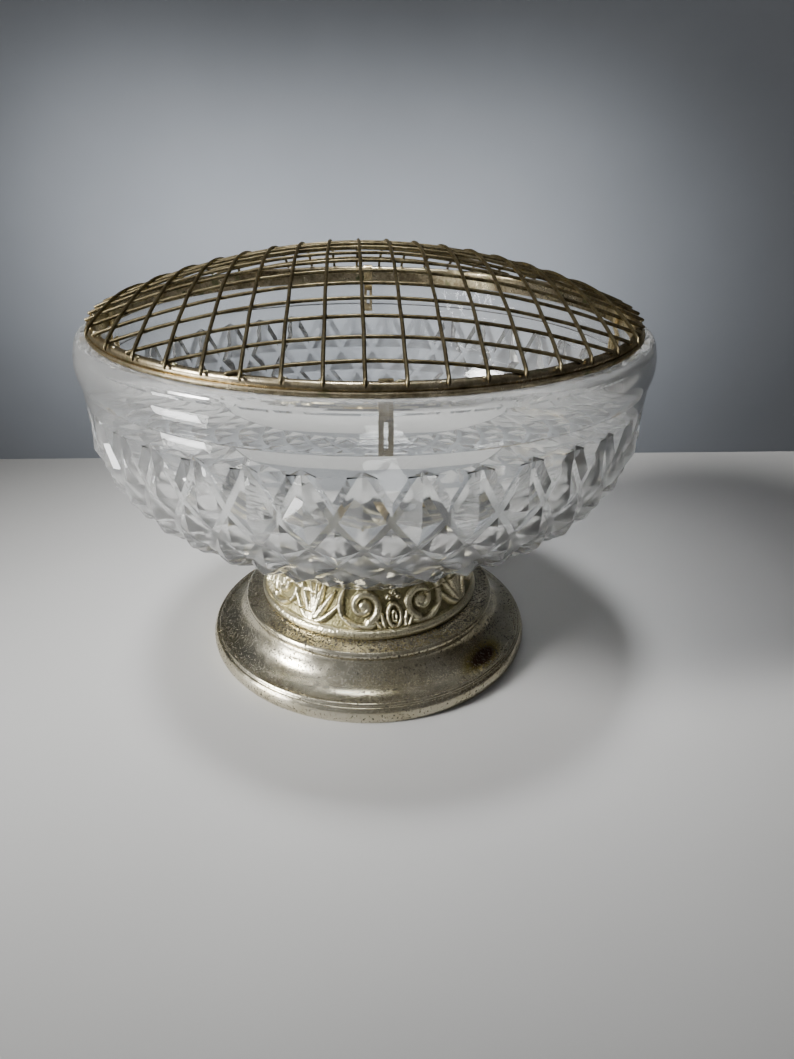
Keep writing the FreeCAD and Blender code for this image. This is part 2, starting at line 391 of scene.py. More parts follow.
@dataclass(frozen=True)
class WornSilver:
    """Silver plate worn thin over brass: bright where it is rubbed, peppered with fine dark pits."""

    bright: Colour = (0.60, 0.56, 0.44)
    warm: Colour = (0.44, 0.39, 0.25)
    pit: Colour = (0.030, 0.025, 0.016)
    pits_per_metre: float = 1400.0
    # Colours of the painted dark reflection on the right front of the foot's cove: yellow-brown at its edge,
    # nearly black in its middle.
    stain_and_painted_reflection: tuple[Colour, Colour] = ((0.33, 0.27, 0.09), (0.060, 0.030, 0.018))
    patches_per_metre: float = 42.0

    def build(self) -> bpy.types.Material:
        """Makes the material.

        Returns:
            The silver plate.
        """
        surface = Surface("silver_plate")
        patches = surface.noise(self.patches_per_metre, 3.0, 0.6)
        grain = surface.noise(self.pits_per_metre, 2.0, 0.7)
        wear = surface.attribute("wear")
        crowd = surface.plus(surface.times(patches, 0.22), surface.times(wear, 0.09))
        speck = surface.plus(grain, crowd)
        pits = surface.span(speck, 0.690, 0.730)
        plate = surface.blend(surface.span(patches, 0.40, 0.66), self.bright, self.warm)
        # Painted dark reflection: the marked patch of the cove turns yellow-brown, then nearly black.
        mark = surface.times(surface.attribute("stain_and_painted_reflection"), surface.span(patches, 0.3, 0.6, 0.75, 1.15))
        plate = surface.blend(surface.span(mark, 0.15, 0.5), plate, self.stain_and_painted_reflection[0])
        plate = surface.blend(surface.span(mark, 0.5, 0.85), plate, self.stain_and_painted_reflection[1])
        surface.feed("Base Color", surface.blend(pits, plate, self.pit))
        surface.feed("Metallic", surface.span(pits, 0.0, 1.0, 1.0, 0.25))
        haze = surface.span(surface.noise(300.0, 3.0), 0.35, 0.7, 0.17, 0.27)
        surface.feed("Roughness", surface.plus(haze, surface.times(pits, 0.4)))
        surface.bump(surface.span(speck, 0.72, 0.82, 1.0, 0.0), 0.00004, 0.8)
        return surface.material


@dataclass(frozen=True)
class GalleryPlate:
    """Cast ornament: rubbed pale on the ridges, dark and stippled in the ground."""

    ridge: Colour = (0.60, 0.55, 0.38)
    slope: Colour = (0.40, 0.355, 0.215)
    ground: Colour = (0.19, 0.17, 0.085)

    def build(self) -> bpy.types.Material:
        """Makes the material.

        Returns:
            The cast plate.
        """
        surface = Surface("gallery_plate")
        relief = surface.attribute("relief")
        stain_and_painted_reflection = surface.noise(210.0, 4.0, 0.65)
        level = surface.plus(relief, surface.span(stain_and_painted_reflection, 0.3, 0.7, -0.16, 0.16))
        tones = surface.tones(level, [(0.0, self.ground), (0.30, self.slope), (0.80, self.ridge)])
        dirt = surface.span(surface.noise(1900.0, 2.0, 0.6), 0.57, 0.66)
        surface.feed("Base Color", surface.blend(surface.times(dirt, 0.75), tones, (0.07, 0.06, 0.035)))
        surface.fixed(Metallic=1.0)
        surface.feed("Roughness", surface.span(level, 0.0, 0.8, 0.48, 0.30))
        stipple = surface.span(surface.cells(1100.0), 0.0, 0.6)
        surface.bump(stipple, 0.00012, 0.8)
        return surface.material


@dataclass(frozen=True)
class TarnishedBrass:
    """Plated brass gone brown: rubbed gold in places, nearly black in others, with green in the joints."""

    name: str
    gold: Colour
    brown: Colour
    black: Colour = (0.045, 0.035, 0.028)
    blotches_per_metre: float = 130.0
    roughness: tuple[float, float] = (0.22, 0.46)
    edge_tint: Colour = (0.80, 0.70, 0.50)
    verdigris: float = 0.0

    def build(self) -> bpy.types.Material:
        """Makes the material.

        Returns:
            The tarnished metal.
        """
        surface = Surface(self.name)
        blotch = surface.noise(self.blotches_per_metre, 4.0, 0.65)
        grain = surface.noise(self.blotches_per_metre * 9, 3.0, 0.7)
        level = surface.plus(surface.times(blotch, 0.68), surface.times(grain, 0.32))
        tones = surface.tones(level, [(0.33, self.black), (0.45, self.brown), (0.62, self.gold)])
        if self.verdigris:
            growth = surface.noise(self.blotches_per_metre * 2.1, 3.0)
            green = surface.span(growth, 0.66 - self.verdigris, 0.72)
            tones = surface.blend(green, tones, (0.13, 0.145, 0.075))
        surface.feed("Base Color", tones)
        surface.fixed(Metallic=1.0, Specular_Tint=(*self.edge_tint, 1.0))
        surface.feed("Roughness", surface.span(level, 0.3, 0.65, self.roughness[1], self.roughness[0]))
        surface.bump(grain, 0.00004, 0.7)
        return surface.material


@dataclass(frozen=True)
class TurnedMetal:
    """Lathe-turned fixing with fine rings round its axis."""

    name: str
    colour: Colour
    shade: Colour
    roughness: float = 0.3

    def build(self) -> bpy.types.Material:
        """Makes the material.

        Returns:
            The turned metal.
        """
        surface = Surface(self.name)
        rings = surface.noise(60.0, 3.0, 0.6, surface.stretched((1.0, 1.0, 40.0)))
        surface.feed("Base Color", surface.blend(surface.span(rings, 0.35, 0.65), self.colour, self.shade))
        surface.fixed(Metallic=1.0)
        surface.feed("Roughness", surface.span(rings, 0.3, 0.7, self.roughness - 0.08, self.roughness + 0.12))
        surface.bump(rings, 0.00005, 0.5)
        return surface.material


@dataclass(frozen=True)
class SoftRubber:
    """Matt black rubber with a fine bloom."""

    colour: Colour = (0.030, 0.030, 0.030)
    bloom: Colour = (0.085, 0.083, 0.080)

    def build(self) -> bpy.types.Material:
        """Makes the material.

        Returns:
            The rubber.
        """
        surface = Surface("soft_rubber")
        dust = surface.noise(700.0, 4.0, 0.7)
        surface.feed("Base Color", surface.blend(surface.span(dust, 0.4, 0.75), self.colour, self.bloom))
        surface.feed("Roughness", surface.span(dust, 0.3, 0.7, 0.55, 0.8))
        surface.bump(dust, 0.00005, 0.5)
        return surface.material


# ------------------------------------------------------------------ glass bowl
@dataclass
class GlassBowl:
    """Pressed bowl: plain band, short band and a pattern of pointed diamonds. Sizes in millimetres."""

    diamonds: int = 39
    phase_deg: float = -2.4
    rows: int = 5
    first_row: float = 11.6
    row_height: float = 9.4
    point_rise: float = 0.35
    groove_depth: float = 1.75
    groove_floor: float = 0.9
    top_notch: float = 0.2
    point_round: float = 0.9
    rim_wall: float = 4.8
    rim_round: float = 0.9
    rim_fall: float = 2.4
    swell: float = 0.7
    plain_band: float = 10.9
    short_band: float = 5.6
    band_step: float = 0.7
    side_drop: float = 34.9
    side_sag: float = 5.5
    turn_radius: float = 64.5
    base_radius: float = 34.5
    base_edge: float = 1.2
    side_wall: float = 5.0
    floor_thick: float = 6.0
    floor_radius: float = 30.0
    bolt_hole: float = 4.0
    node: str = "glass_bowl"

    def __post_init__(self) -> None:
        """Reads the seat, the lip and the widest radius from the frame."""
        low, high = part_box(self.node)
        self.seat_z = low.z / MM
        self.lip_z = high.z / MM
        self.rim_radius = high.x / MM - self.swell
        self.mouth = self.rim_radius - self.rim_wall
        self.band_z = self.lip_z - self.plain_band
        self.cut_z = self.band_z - self.short_band

    def side_curve(self) -> list[Vector]:
        """Fine line of the outside, from the short band down to the base.

        Returns:
            Points from the top to the base's edge.
        """
        top = polar(self.rim_radius - self.band_step, self.cut_z)
        turn = polar(self.turn_radius, self.cut_z - self.side_drop)
        edge = polar(self.base_radius, self.seat_z + self.base_edge)
        line = [top] + arc_between(top, turn, self.side_sag, 80)
        return line + arc_between(turn, edge, 1.2, 80)

    def side_points(self) -> tuple[list[Vector], list[Vector]]:
        """Parts the outside into the pattern's half rows and the plain underside.

        Returns:
            Two points a row with one more at the end, and the points of the underside.
        """
        fine = self.side_curve()
        reach = [0.0]
        for before, after in zip(fine, fine[1:]):
            reach.append(reach[-1] + (after - before).length / MM)
        edges = [0.0, self.first_row] + [self.first_row + self.row_height * k for k in range(1, self.rows)]
        stops = []
        for start, end in zip(edges, edges[1:]):
            stops += [start, (start + end) / 2]
        stops.append(edges[-1])
        under = list(np.linspace(edges[-1] + 0.8, reach[-1], 12))
        xs = np.interp(stops + under, reach, [p.x for p in fine])
        zs = np.interp(stops + under, reach, [p.z for p in fine])
        points = [Vector((x, 0.0, z)) for x, z in zip(xs, zs)]
        slope = (points[len(stops)] - points[-1]).normalized()
        inward = Vector((-slope.z, 0.0, slope.x)) * self.groove_depth * MM
        for k in range(len(stops), len(points) - 1):
            points[k] += inward * min(1.0, (len(points) - 1 - k) / 4)
        return points[:len(stops)], points[len(stops):]

    def outline(self) -> tuple[list[Vector], int]:
        """Whole closed outline of the glass.

        Returns:
            The points, and the number of the first point of the pattern.
        """
        r, m = self.rim_radius, self.mouth
        floor_z = self.seat_z + self.floor_thick
        bend = math.sqrt(0.5) - 0.5
        line = [polar(self.bolt_hole, self.seat_z), polar(self.bolt_hole, floor_z)]
        line += [polar(self.floor_radius * share, floor_z) for share in (0.35, 0.7, 0.95)]
        turn_z = self.cut_z - self.side_drop
        inner_turn = polar(self.turn_radius - self.side_wall / 2, turn_z + self.side_wall)
        line += arc_between(line[-1], inner_turn, -1.2, 12)
        line += arc_between(inner_turn, polar(m, self.cut_z), -self.side_sag, 16)
        line += [polar(m, self.band_z), polar(m, self.lip_z - self.rim_round)]
        line += arc_between(line[-1], polar(m + self.rim_round, self.lip_z), self.rim_round * bend, 5)
        line.append(polar(r - self.rim_fall, self.lip_z))
        line += arc_between(line[-1], polar(r, self.lip_z - self.rim_fall), self.rim_fall * bend * 1.4, 8)
        line += arc_between(line[-1], polar(r, self.band_z + 0.6), self.swell, 10)
        line += arc_between(line[-1], polar(r - self.band_step, self.band_z - 0.4), 0.2, 5)
        line += [polar(r - self.band_step + 0.2, self.cut_z + self.short_band / 2)]
        line += [polar(r - self.band_step, self.cut_z + 0.5)]
        first = len(line)
        pattern, under = self.side_points()
        line += pattern + under
        line.append(polar(self.base_radius - self.base_edge, self.seat_z))
        return line, first

    def shape(self) -> BMesh:
        """Turns the outline, then raises the diamonds and floors the grooves between them.

        Returns:
            The whole glass.
        """
        line, first = self.outline()
        columns, rows = 4 * self.diamonds, 2 * self.rows
        bm = turned(line, columns)
        bmesh.ops.rotate(bm, verts=bm.verts, cent=(0, 0, 0),
                         matrix=Matrix.Rotation(math.radians(self.phase_deg - 90), 3, "Z"))
        bm.verts.index_update()
        spots = np.array([(p.x, p.z) for p in line[first:first + rows + 1]])
        place = {}
        for vert in bm.verts:
            gap = np.hypot(spots[:, 0] - math.hypot(vert.co.x, vert.co.y), spots[:, 1] - vert.co.z)
            row = int(gap.argmin())
            if gap[row] < 2e-6:
                turn = math.degrees(math.atan2(vert.co.y, vert.co.x)) - self.phase_deg + 90
                place[vert.index] = (round(turn * columns / 360) % columns, row)
        grooves = self.split_facets(bm, place, columns)
        self.raise_diamonds(bm, place, line, first)
        cut = bm.verts.layers.float.new("cut")
        for vert in bm.verts:
            vert[cut] = 1.0 if vert.index in place else 0.0
        points = [vert for vert in bm.verts if vert.index in place and 0 < place[vert.index][1] < rows
                  and self.share(*place[vert.index]) > 0.99]
        bmesh.ops.bevel(bm, geom=grooves, offset=self.groove_floor * MM, segments=1, profile=0.5,
                        affect="EDGES", material=-1, clamp_overlap=True)
        bmesh.ops.bevel(bm, geom=points, offset=self.point_round * MM, segments=2, profile=0.5,
                        affect="VERTICES", material=-1, clamp_overlap=True)
        bmesh.ops.recalc_face_normals(bm, faces=bm.faces)
        return bm

    @staticmethod
    def share(column: int, row: int) -> float:
        """Height share of the pattern at a half column and half row: 0 in a groove, 1 at a point."""
        s, t = (column % 2) / 2, (row % 2) / 2
        return abs(s - t) if (column // 2 + row // 2) % 2 == 0 else abs(s + t - 1)

    def split_facets(self, bm: BMesh, place: dict[int, tuple[int, int]],
                     columns: int) -> list[bmesh.types.BMEdge]:
        """Cuts every quad of the pattern along the way its groove runs.

        Args:
            bm: The turned glass.
            place: Half column and half row of each vertex of the pattern.
            columns: Number of half columns.

        Returns:
            The edges that lie in a groove.
        """
        grooves = []
        for face in list(bm.faces):
            corners = [(vert, *place[vert.index]) for vert in face.verts if vert.index in place]
            if len(corners) != 4:
                continue
            row = min(corner[2] for corner in corners)
            across = sorted({corner[1] for corner in corners})
            column = across[-1] if across == [0, columns - 1] else across[0]
            main = (column // 2 + row // 2) % 2 == 0
            start = next(c[0] for c in corners if c[2] == row and (c[1] == column) == main)
            far = next(c[0] for c in corners if c[2] != row and (c[1] != column) == main)
            bmesh.utils.face_split(face, start, far)
            edge = bm.edges.get((start, far))
            if edge is not None and max(self.share(*place[v.index]) for v in (start, far)) < 0.01:
                grooves.append(edge)
        return grooves

    def raise_diamonds(self, bm: BMesh, place: dict[int, tuple[int, int]],
                       line: list[Vector], first: int) -> None:
        """Moves the pattern's vertices along the outline's normal.

        Args:
            bm: The turned glass.
            place: Half column and half row of each vertex of the pattern.
            line: Outline of the glass.
            first: Number of the pattern's first point in the outline.
        """
        last = 2 * self.rows
        for vert in bm.verts:
            if vert.index not in place:
                continue
            column, row = place[vert.index]
            tangent = (line[first + min(row + 1, last)] - line[first + max(row - 1, 0)]).normalized()
            share = self.share(column, row)
            crown = 0.0 if row in (0, last) else self.point_rise
            depth = self.groove_depth * (self.top_notch if row == 0 else 1.0)
            rise = -depth + (depth + crown) * share
            radial = Vector((vert.co.x, vert.co.y, 0.0)).normalized()
            vert.co += (radial * -tangent.z + Vector((0, 0, tangent.x))) * (rise * MM)

    def build(self, material: bpy.types.Material) -> bpy.types.Object:
        """Makes the bowl and puts it in the frame.

        Args:
            material: Finish of the piece.

        Returns:
            The linked piece.
        """
        bowl = finished("glass_bowl_cut", self.shape(), material, Shading.BY_ANGLE, 11.0)
        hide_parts(self.node)
        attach(bowl, BOWL_BODY)
        return bowl


# ------------------------------------------------------------------ foot
@dataclass
class FootBase:
    """Hollow spun foot: rim, fine bead, cove, beaded step and shelf. Sizes in millimetres."""

    rim_height: float = 5.2
    rim_bulge: float = 0.9
    rest_width: float = 2.0
    wall: float = 1.5
    bead_width: float = 1.4
    cove_sag: float = 1.8
    step_radius: float = 41.9
    step_height: float = 3.0
    hole_radius: float = 26.0
    shelf_radius: float = 36.1
    # Direction round the foot of the painted dark reflection.
    painted_reflection_deg: float = -41.0
    steps: int = 256
    node: str = "foot_base"

    def outline(self) -> list[Vector]:
        """Closed outline of the sheet.

        Returns:
            Points of the closed outline.
        """
        low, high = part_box(self.node)
        rim, top = high[0] / MM, high[2] / MM
        flat = rim - self.rim_bulge
        step_flat = self.step_radius - self.step_height / 3
        step_low = top - self.wall / 3 - self.step_height
        bead_out = polar(flat - self.rim_bulge, self.rim_height)
        bead_in = polar(bead_out.x / MM - self.bead_width, self.rim_height + self.bead_width / 2)
        under_high = polar(step_flat - self.wall, step_low)
        under_low = polar(bead_in.x / MM - self.wall, bead_in.z / MM - self.wall)
        line = [polar(flat - self.rest_width, 0), polar(flat, 0)]
        line += arc_between(line[-1], polar(flat, self.rim_height), -self.rim_bulge, 12)
        groove_z = self.rim_height - 0.25
        line += [polar(flat - 0.35, groove_z), polar(flat - 0.6, groove_z), bead_out]
        line += arc_between(line[-1], bead_in, -self.bead_width / 3, 8)
        line += [polar(bead_in.x / MM - 0.15, bead_in.z / MM - 0.15)]
        line += arc_between(line[-1], polar(step_flat + 0.1, step_low - 0.2), self.cove_sag, 24)
        line += [polar(step_flat - 0.1, step_low)]
        step_high = step_low + self.step_height
        line += arc_between(line[-1], polar(step_flat, step_high), -self.step_height / 3, 12)
        line += [polar(step_flat - 0.5, step_high - 0.12), polar(self.shelf_radius + 0.4, top - 0.1)]
        line += [polar(self.shelf_radius, top), polar(self.hole_radius, top)]
        line += [polar(self.hole_radius, top - self.wall), polar(under_high.x / MM, top - self.wall)]
        line.append(under_high)
        line += arc_between(under_high, under_low, -self.cove_sag, 16)
        line.append(polar(flat - self.rest_width, self.rim_height / 2))
        return line

    def wear(self, mesh: bpy.types.Mesh) -> None:
        """Marks where pits crowd, on the shelf and the ends of the cove, and the one brown patch of painted
        dark reflection on the right front of the cove.

        Args:
            mesh: Mesh of the foot.
        """
        mesh.attributes.new("wear", "FLOAT", "POINT")
        mesh.attributes.new("stain_and_painted_reflection", "FLOAT", "POINT")
        wear, stain_and_painted_reflection = mesh.attributes["wear"].data, mesh.attributes["stain_and_painted_reflection"].data
        for vert, spot, mark in zip(mesh.vertices, wear, stain_and_painted_reflection):
            radius = math.hypot(vert.co.x, vert.co.y) / MM
            turn = math.degrees(math.atan2(vert.co.y, vert.co.x)) - self.painted_reflection_deg
            # Painted dark reflection: a soft patch on the cove, centred 46.8 mm out and at the direction
            # above.
            mark.value = math.exp(-(turn / 11.0) ** 2 - ((radius - 46.8) / 3.0) ** 2)
            shelf = 1.0 if radius < self.step_radius - 1.4 else 0.0
            cove = max(0.0, abs(radius - 46.2) / 4.6 - 0.25) if 41.8 < radius < 51.0 else 0.0
            spot.value = max(shelf, min(1.0, cove))

    def build(self, material: bpy.types.Material) -> bpy.types.Object:
        """Makes the foot and puts it in the frame.

        Args:
            material: Finish of the piece.

        Returns:
            The linked piece.
        """
        shape = turned(self.outline(), self.steps)
        foot = finished("foot_base_spun", shape, material, Shading.BY_ANGLE, 50.0)
        self.wear(foot.data)
        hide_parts(self.node)
        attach(foot, BOWL_BODY)
        return foot


@dataclass(frozen=True)
class Stroke:
    """A raised line of the ornament: points across and up the band, with a half width at each."""

    points: np.ndarray
    widths: np.ndarray
    height: float = 1.0

    def mirrored(self) -> "Stroke":
        """The same line on the other side of the motif."""
        return Stroke(self.points * np.array([-1.0, 1.0]), self.widths, self.height)


def volute(centre: tuple[float, float], radius: float, turns: float, start_deg: float,
           width: float) -> Stroke:
    """Scroll that winds inwards to an eye.

    Args:
        centre: Middle of the scroll.
        radius: Where it starts.
        turns: How often it goes round, negative for clockwise.
        start_deg: Direction of its start from the centre.
        width: Half width at the start.

    Returns:
        The stroke.
    """
    share = np.linspace(0.0, 1.0, 120)
    angle = math.radians(start_deg) + math.tau * turns * share
    reach = radius * (1 - 0.84 * share ** 0.8)
    points = np.stack([centre[0] + reach * np.cos(angle), centre[1] + reach * np.sin(angle)], axis=1)
    return Stroke(points, width * (1 - 0.45 * share))


def leaf(start: tuple[float, float], bend: tuple[float, float], end: tuple[float, float], width: float,
         height: float = 1.0) -> Stroke:
    """Leaf or stem that swells in the middle, along a quadratic curve.

    Args:
        start: Where it grows from.
        bend: Point that it bends towards.
        end: Its tip.
        width: Largest half width.
        height: Height share of its ridge.

    Returns:
        The stroke.
    """
    t = np.linspace(0.0, 1.0, 60)[:, None]
    points = (1 - t) ** 2 * np.array(start) + 2 * t * (1 - t) * np.array(bend) + t ** 2 * np.array(end)
    swell = 0.35 + 0.65 * np.sin(math.pi * np.clip(t[:, 0] * 0.92 + 0.06, 0, 1)) ** 0.8
    return Stroke(points, width * swell, height)


def loop(centre: tuple[float, float], long: float, wide: float, turn_deg: float, width: float) -> Stroke:
    """Closed oval loop.

    Args:
        centre: Middle of the oval.
        long: Half its length.
        wide: Half its width.
        turn_deg: Direction of its length.
        width: Half width of the line.

    Returns:
        The stroke.
    """
    t = np.linspace(0.0, math.tau, 64)
    turn = math.radians(turn_deg)
    u, v = long * np.cos(t), wide * np.sin(t)
    points = np.stack([centre[0] + u * math.cos(turn) - v * math.sin(turn),
                       centre[1] + u * math.sin(turn) + v * math.cos(turn)], axis=1)
    return Stroke(points, np.full(64, width))


@dataclass
class FootGallery:
    """Cast band of scrolls, palmettes and leaves over a bead. Sizes in millimetres."""

    motifs: int = 4
    columns_per_motif: int = 166
    band_rows: int = 46
    phase_deg: float = -78.0
    relief: float = 1.35
    base_radius: float = 34.3
    top_radius: float = 29.8
    bead_height: float = 3.0
    wall: float = 1.5
    cove_sag: float = 0.8
    bolt_hole: float = 3.3
    node: str = "foot_gallery"

    def strokes(self) -> list[Stroke]:
        """Every raised line of one motif.

        Returns:
            The strokes of both sides and of the middle.
        """
        half = math.pi * (self.base_radius + self.top_radius) / 2 / self.motifs
        side = [
            volute((9.4, 7.3), 5.4, -1.5, 250.0, 1.4),
            loop((9.4, 7.3), 0.5, 0.5, 0.0, 1.2),
            leaf((6.0, 1.3), (11.4, -0.6), (15.8, 3.8), 1.15),
            leaf((15.2, 2.8), (18.2, 6.8), (15.9, 12.2), 1.1),
            leaf((3.0, 0.5), (3.4, 2.8), (3.9, 5.0), 0.8),
            leaf((4.0, 0.3), (4.8, 1.6), (5.6, 3.0), 0.75, 0.95),
            loop((1.7, 9.9), 0.55, 0.55, 0.0, 0.42),
            leaf((3.2, 12.6), (5.6, 14.0), (8.4, 13.2), 0.8, 0.85),
            leaf((half - 0.2, 0.2), (half - 0.6, 6.0), (half - 2.6, 13.0), 1.15),
            leaf((half - 0.5, 0.3), (half - 2.4, 4.4), (half - 6.0, 10.8), 1.15),
            leaf((half - 0.9, 0.2), (half - 4.0, 1.4), (half - 7.6, 6.6), 1.05, 0.95),
        ]
        middle = [
            loop((0.0, 4.1), 3.6, 2.0, 90.0, 0.72),
            loop((0.0, 3.8), 1.7, 0.55, 90.0, 0.5),
            loop((0.0, 11.2), 0.6, 0.6, 0.0, 0.42),
            leaf((half, 0.2), (half, 7.0), (half, 13.6), 1.0),
            leaf((-half, 0.2), (-half, 7.0), (-half, 13.6), 1.0),
        ]
        return side + [stroke.mirrored() for stroke in side] + middle

    def heights(self, across: np.ndarray, up: np.ndarray) -> np.ndarray:
        """Relief over one motif.

        Args:
            across: Millimetres from the motif's middle.
            up: Millimetres up the band.

        Returns:
            Height shares from 0 in the ground to 1 on the highest ridge.
        """
        spots = np.stack([across, up], axis=1)
        best = np.zeros(len(spots))
        for stroke in self.strokes():
            gaps = np.linalg.norm(spots[:, None, :] - stroke.points[None, :, :], axis=2)
            crown = np.sqrt(np.clip(1 - (gaps / stroke.widths[None, :]) ** 2, 0, None)).max(axis=1)
            best = np.maximum(best, crown * stroke.height)
        return best

    def outline(self) -> tuple[list[Vector], int]:
        """Whole closed outline of the gallery.

        Returns:
            The points, and the number of the first point of the band.
        """
        low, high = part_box(self.node)
        base, top, edge = low[2] / MM, high[2] / MM, high[0] / MM
        flat = edge - self.bead_height / 3
        bead_top = base + self.bead_height
        line = [polar(self.base_radius - self.wall, base), polar(flat, base)]
        line += arc_between(line[-1], polar(flat, bead_top), -self.bead_height / 3, 12)
        line.append(polar(self.base_radius + 0.35, bead_top - 0.25))
        first = len(line)
        start, end = polar(self.base_radius, bead_top), polar(self.top_radius, top)
        line += [start] + arc_between(start, end, self.cove_sag, self.band_rows)
        line += [polar(self.bolt_hole, top), polar(self.bolt_hole, top - self.wall)]
        inner = polar(self.top_radius - self.wall, top - self.wall)
        line += [inner] + arc_between(inner, line[0], -self.cove_sag, 10)[:-1]
        return line, first

    def shape(self) -> BMesh:
        """Turns the outline and raises the ornament.

        Returns:
            The whole gallery.
        """
        line, first = self.outline()
        columns = self.motifs * self.columns_per_motif
        bm = turned(line, columns)
        rows = self.band_rows + 1
        band = line[first:first + rows]
        length = sum((after - before).length for before, after in zip(band, band[1:])) / MM
        grid_c, grid_r = np.meshgrid(np.arange(self.columns_per_motif), np.arange(rows), indexing="ij")
        radius = np.array([line[first + r].x / MM for r in range(rows)])
        turn = (grid_c / self.columns_per_motif - 0.5) * math.tau / self.motifs
        mean = (self.base_radius + self.top_radius) / 2
        up = grid_r * length / (rows - 1)
        relief = self.heights((turn * mean).ravel(), up.ravel()).reshape(grid_c.shape)
        ends = np.minimum(1.0, np.minimum(grid_r, rows - 1 - grid_r) / 2)
        relief = relief * ends
        rows_at = {(round(line[first + r].x * 1e6), round(line[first + r].z * 1e6)): r for r in range(rows)}
        layer = bm.verts.layers.float.new("relief")
        for vert in bm.verts:
            key = (round(math.hypot(vert.co.x, vert.co.y) * 1e6), round(vert.co.z * 1e6))
            row = rows_at.get(key)
            if row is None:
                vert[layer] = 0.9
                continue
            angle = math.atan2(vert.co.y, vert.co.x) % math.tau
            column = round(angle * columns / math.tau) % self.columns_per_motif
            share = float(relief[column, row])
            vert[layer] = share
            ahead = line[first + min(row + 1, rows - 1)] - line[first + max(row - 1, 0)]
            ahead.normalize()
            out = Vector((vert.co.x, vert.co.y, 0.0)).normalized()
            normal = out * ahead.z - Vector((0, 0, ahead.x))
            vert.co += normal * ((share - 0.25) * self.relief * MM * float(ends[column, row]))
        bmesh.ops.rotate(bm, verts=bm.verts, cent=(0, 0, 0),
                         matrix=Matrix.Rotation(math.radians(self.phase_deg - 180 / self.motifs), 3, "Z"))
        return bm

    def build(self, material: bpy.types.Material) -> bpy.types.Object:
        """Makes the gallery and puts it in the frame.

        Args:
            material: Finish of the piece.

        Returns:
            The linked piece.
        """
        band = finished("foot_gallery_cast", self.shape(), material, Shading.BY_ANGLE, 60.0)
        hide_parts(self.node)
        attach(band, BOWL_BODY)
        return band


# ------------------------------------------------------------------ flower frog
class Layer(Enum):
    """Which way a wire runs, and so which layer it lies in."""

    CROSSWISE = 0
    LENGTHWISE = 1


